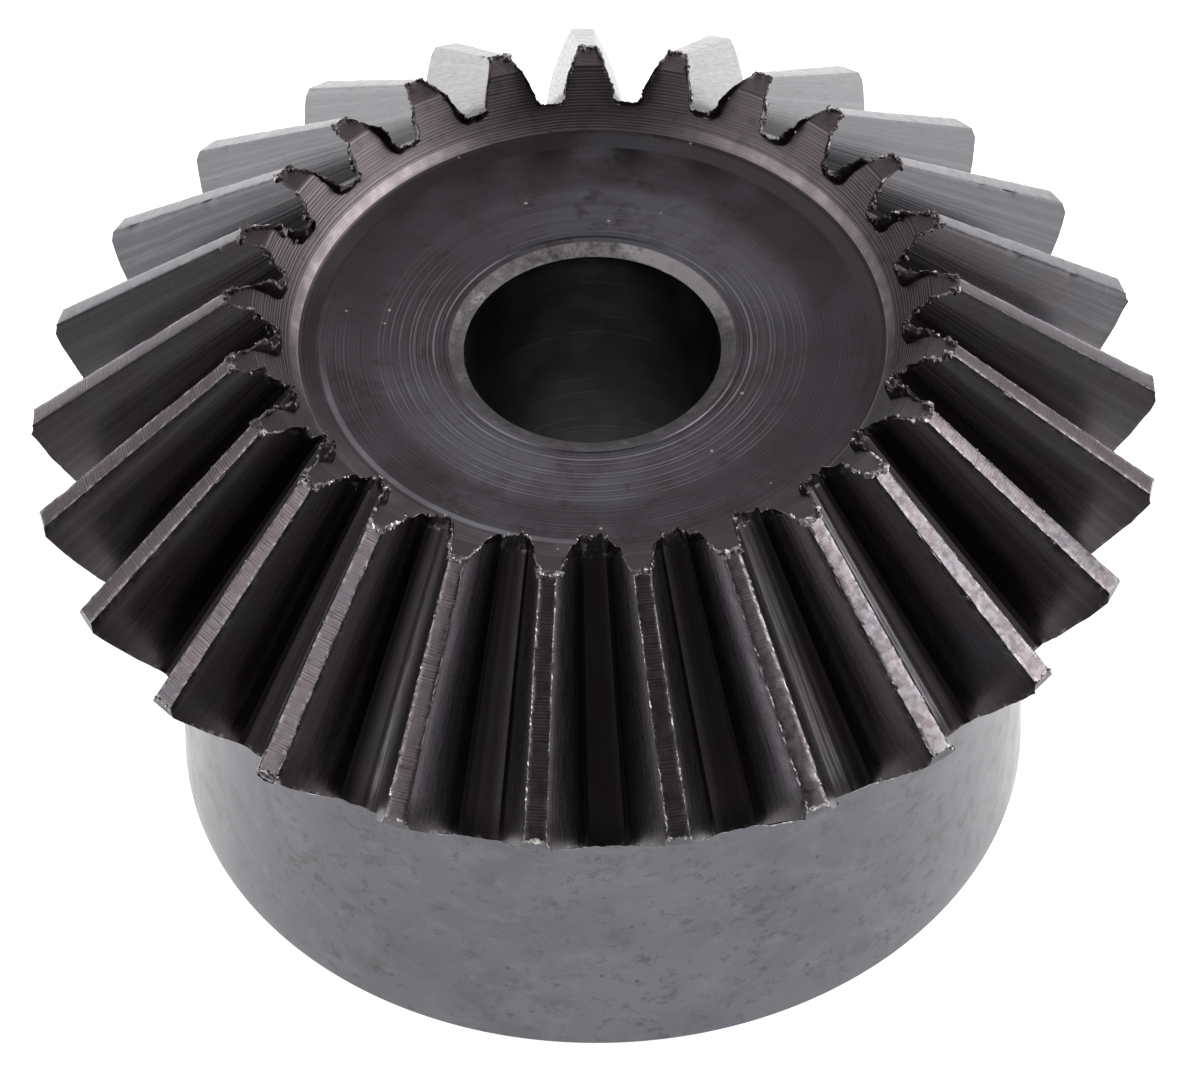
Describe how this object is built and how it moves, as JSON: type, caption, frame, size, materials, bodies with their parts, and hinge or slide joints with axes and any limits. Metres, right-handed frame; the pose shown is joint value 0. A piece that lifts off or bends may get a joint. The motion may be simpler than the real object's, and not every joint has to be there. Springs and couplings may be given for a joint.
{
  "type": "bevel gear",
  "caption": "Straight-tooth bevel gear of the mitre type with a long plain hub, a through bore and a shallow front recess.",
  "frame": {"origin": "centre of the bore at the hub's back face", "axes": "+Z along the bore, from the hub's back face towards the teeth; one tooth stands on +Y"},
  "size_m": [0.0528, 0.0527, 0.0293],
  "materials": {
    "black_oxide_steel": "black oxide over turned and cut steel, satin"
  },
  "bodies": {
    "root": {"bevel_gear": "black_oxide_steel"}
  },
  "joints": []
}
